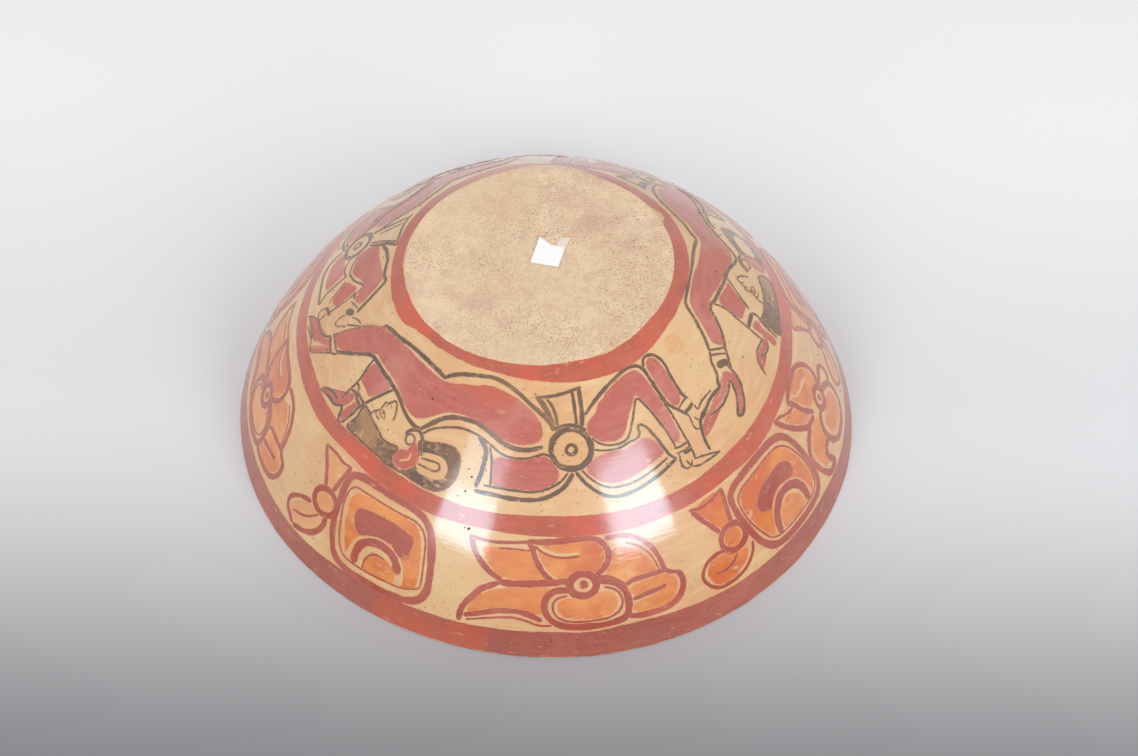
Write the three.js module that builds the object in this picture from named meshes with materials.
// A painted earthenware bowl, stored upside down on its rim.
// Millimetres, +Z up. The origin is the centre of the circle that the rim stands on.
// The bowl is built as a potter builds it: a base slab, courses of coils, a lip, and slips over them.
import * as THREE from "three";

// Outline of the finished bowl
const RIM_RADIUS = 150;
const BOWL_HEIGHT = 100.4;
const BASE_RADIUS = 62;
const SHOULDER_SLOPE = 32.4;
const SHOULDER_REACH = 69;
const RIM_SLOPE = 66.3;
const RIM_REACH = 30;

// The dome leans to -X by this many degrees, and the base disc tilts with it
const LEAN = 3;

// Clay: the courses share the wall above the lip coil equally
const WALL_THICKNESS = 8;
const BASE_EDGE_CHAMFER = 0.8;
const COURSE_NAMES = ["shoulder_course", "belly_course", "upper_course"];
const LIP_COIL_WIDTH = 13.6;
const FOOT_WIDTH = 4;
const LIP_ROUND_OUTSIDE = 1;
const LIP_ROUND_INSIDE = 7;

// Slips, whose widths are measured along the wall: the frieze fills what the others leave
const SLIP_THICKNESS = 0.4;
const BASE_BAND_WIDTH = 7.5;
const FIGURE_ZONE_WIDTH = 60.5;
const MIDDLE_BAND_WIDTH = 7.5;
const RIM_BAND_WIDTH = 12.6;
const SLIP_FOOT_CLEARANCE = 1.2;

// Paper label on the base disc
const LABEL_WIDTH = 13.3;
const LABEL_LENGTH = 16.5;
const LABEL_TEAR = 3.6;
const LABEL_THICKNESS = 0.3;
const LABEL_OFFSET_X = 4.4;
const LABEL_OFFSET_Y = 6.3;
const LABEL_TURN = -13;

// Clearance between pieces that lie on each other
const FIT_GAP = 0.3;

// Where the search for a height on the wall stops
const HEIGHT_SEARCH_END = 1e-6;

// Facets: on the base disc they start afresh at a circle that the whole label lies inside
const LABEL_CLEAR_RADIUS = 20;
const SEGMENTS = 48;
const STEP_ALONG_WALL = 10;
const LIP_STEPS = 3;

const COLORS = {
  clay: 0xc9a27c,
  cream: 0xe2c48f,
  red: 0xb2574a,
  paper: 0xf0ece4,
};

const radians = THREE.MathUtils.degToRad;

// A step down a slope, given in degrees below level
function downSlope(slope, reach) {
  return new THREE.Vector2(Math.cos(radians(slope)), -Math.sin(radians(slope))).multiplyScalar(reach);
}

// The wall's outer surface in section, from the edge of the base disc down to the rim
function wallOutline() {
  const start = new THREE.Vector2(BASE_RADIUS, BOWL_HEIGHT);
  const end = new THREE.Vector2(RIM_RADIUS, 0);
  return new THREE.CubicBezierCurve(
    start,
    start.clone().add(downSlope(SHOULDER_SLOPE, SHOULDER_REACH)),
    end.clone().sub(downSlope(RIM_SLOPE, RIM_REACH)),
    end,
  );
}

const outline = wallOutline();
const wallLength = outline.getLength();

// Depths below the finished outer surface
const slipDepth = SLIP_THICKNESS;
const clayDepth = SLIP_THICKNESS + FIT_GAP;
const innerDepth = clayDepth + WALL_THICKNESS;

// A point of the section, some way down the wall and some depth below its surface
function sectionPoint(along, depth) {
  const u = THREE.MathUtils.clamp(along / wallLength, 0, 1);
  const point = outline.getPointAt(u);
  const tangent = outline.getTangentAt(u);
  return new THREE.Vector2(point.x + tangent.y * depth, point.y - tangent.x * depth);
}

// Points along the wall at one depth
function sectionLine(from, to, depth) {
  const steps = Math.max(1, Math.ceil(Math.abs(to - from) / STEP_ALONG_WALL));
  const points = [];
  for (let i = 0; i <= steps; i += 1) {
    points.push(sectionPoint(from + ((to - from) * i) / steps, depth));
  }
  return points;
}

// The dome's lean: level planes stay flat and the rim's plane stays where it is
function lean(geometry) {
  const slope = Math.tan(radians(LEAN));
  const position = geometry.attributes.position;
  for (let i = 0; i < position.count; i += 1) {
    const x = position.getX(i);
    const z = position.getZ(i);
    position.setX(i, x - slope * z);
    position.setZ(i, z + (slope * x * z) / BOWL_HEIGHT);
  }
  geometry.computeVertexNormals();
  return geometry;
}

// Turns a section round the bowl's axis
function turned(points) {
  const geometry = new THREE.LatheGeometry(points, SEGMENTS);
  geometry.rotateX(Math.PI / 2);
  return lean(geometry);
}

// A ring of the wall between two depths, whose ends are square to the wall
function wallRing(from, to, faceDepth, backDepth) {
  const face = sectionLine(to, from, faceDepth);
  const back = sectionLine(from, to, backDepth);
  return turned([...face, ...back, face[0]]);
}

// The clay disc whose top is the base disc, with an edge that meets the first course
function baseSlab() {
  const edge = BASE_RADIUS - FIT_GAP;
  const slope = radians(SHOULDER_SLOPE);
  const depth = innerDepth * Math.cos(slope);
  const underside = BOWL_HEIGHT - depth;
  const lowerEdge = edge - innerDepth * Math.sin(slope);
  const chamferDrop = BASE_EDGE_CHAMFER * Math.cos(slope);
  return turned([
    new THREE.Vector2(0, underside),
    new THREE.Vector2(lowerEdge, underside),
    new THREE.Vector2(edge - BASE_EDGE_CHAMFER * Math.sin(slope), BOWL_HEIGHT - chamferDrop),
    new THREE.Vector2(edge - BASE_EDGE_CHAMFER, BOWL_HEIGHT),
    new THREE.Vector2(LABEL_CLEAR_RADIUS, BOWL_HEIGHT),
    new THREE.Vector2(0, BOWL_HEIGHT),
  ]);
}

// How far down the wall a surface at some depth comes to a height
function alongAtHeight(height, depth) {
  let above = 0;
  let below = wallLength;
  while (below - above > HEIGHT_SEARCH_END) {
    const middle = (above + below) / 2;
    if (sectionPoint(middle, depth).y > height) {
      above = middle;
    } else {
      below = middle;
    }
  }
  return above;
}

// The last coil, worn to a flat edge that the bowl stands on and rounded into the wall
function lipCoil(from) {
  const outer = sectionLine(from, alongAtHeight(LIP_ROUND_OUTSIDE, clayDepth), clayDepth);
  const inner = sectionLine(from, alongAtHeight(LIP_ROUND_INSIDE, innerDepth), innerDepth);
  const outerEnd = outer[outer.length - 1];
  const innerEnd = inner[inner.length - 1];
  const footOutside = new THREE.Vector2(outerEnd.x - LIP_ROUND_OUTSIDE / 2, 0);
  const footInside = new THREE.Vector2(footOutside.x - FOOT_WIDTH, 0);
  const corner = new THREE.Vector2((innerEnd.x + footInside.x) / 2 - LIP_ROUND_OUTSIDE, 0);
  const round = new THREE.QuadraticBezierCurve(innerEnd, corner, footInside).getPoints(LIP_STEPS);
  return turned([...inner, ...round.slice(1), footOutside, ...outer.reverse(), inner[0]]);
}

// How far down the wall the slip reaches before it would touch what the bowl stands on
function slipEnd() {
  const rim = radians(RIM_SLOPE);
  return wallLength - SLIP_FOOT_CLEARANCE / Math.sin(rim);
}

// A rectangle of paper, torn at its far edge, that lies on the base disc
function labelSheet() {
  const shape = new THREE.Shape();
  const halfWidth = LABEL_WIDTH / 2;
  const halfLength = LABEL_LENGTH / 2;
  const tornEdge = halfLength - LABEL_TEAR;
  shape.moveTo(-halfWidth, -halfLength);
  shape.lineTo(halfWidth, -halfLength);
  shape.lineTo(halfWidth, tornEdge);
  shape.lineTo(0, tornEdge);
  shape.lineTo(-halfWidth, halfLength);
  shape.closePath();
  const geometry = new THREE.ExtrudeGeometry(shape, { depth: LABEL_THICKNESS, bevelEnabled: false });
  geometry.rotateZ(radians(LABEL_TURN));
  geometry.translate(LABEL_OFFSET_X, LABEL_OFFSET_Y, BOWL_HEIGHT + FIT_GAP);
  return lean(geometry);
}

function piece(name, geometry, color, roughness) {
  const material = new THREE.MeshStandardMaterial({ color, roughness, metalness: 0 });
  const mesh = new THREE.Mesh(geometry, material);
  mesh.name = name;
  return mesh;
}

// Rings that follow each other down the wall, each a clearance short of the next
function rings(entries, faceDepth, backDepth) {
  const meshes = [];
  let from = 0;
  for (const { name, width, color, roughness } of entries) {
    const geometry = wallRing(from, from + width - FIT_GAP, faceDepth, backDepth);
    meshes.push(piece(name, geometry, color, roughness));
    from += width;
  }
  return { meshes, end: from };
}

function clayBody() {
  const clay = { color: COLORS.clay, roughness: 0.85 };
  const width = (wallLength - LIP_COIL_WIDTH) / COURSE_NAMES.length;
  const courses = rings(
    COURSE_NAMES.map((name) => ({ name, width, ...clay })),
    clayDepth,
    innerDepth,
  );
  return [
    piece("base_slab", baseSlab(), clay.color, clay.roughness),
    ...courses.meshes,
    piece("lip_coil", lipCoil(courses.end), clay.color, clay.roughness),
  ];
}

function slips() {
  const cream = { color: COLORS.cream, roughness: 0.3 };
  const red = { color: COLORS.red, roughness: 0.35 };
  const friezeZoneEnd = slipEnd() - RIM_BAND_WIDTH;
  const friezeZoneWidth = friezeZoneEnd - BASE_BAND_WIDTH - FIGURE_ZONE_WIDTH - MIDDLE_BAND_WIDTH;
  return rings(
    [
      { name: "red_base_band", width: BASE_BAND_WIDTH, ...red },
      { name: "cream_slip_figure_zone", width: FIGURE_ZONE_WIDTH, ...cream },
      { name: "red_middle_band", width: MIDDLE_BAND_WIDTH, ...red },
      { name: "cream_slip_frieze_zone", width: friezeZoneWidth, ...cream },
      { name: "red_rim_band", width: RIM_BAND_WIDTH, ...red },
    ],
    0,
    slipDepth,
  ).meshes;
}

const group = new THREE.Group();
group.add(...clayBody());
group.add(...slips());
group.add(piece("blank_label", labelSheet(), COLORS.paper, 0.9));

export default group;
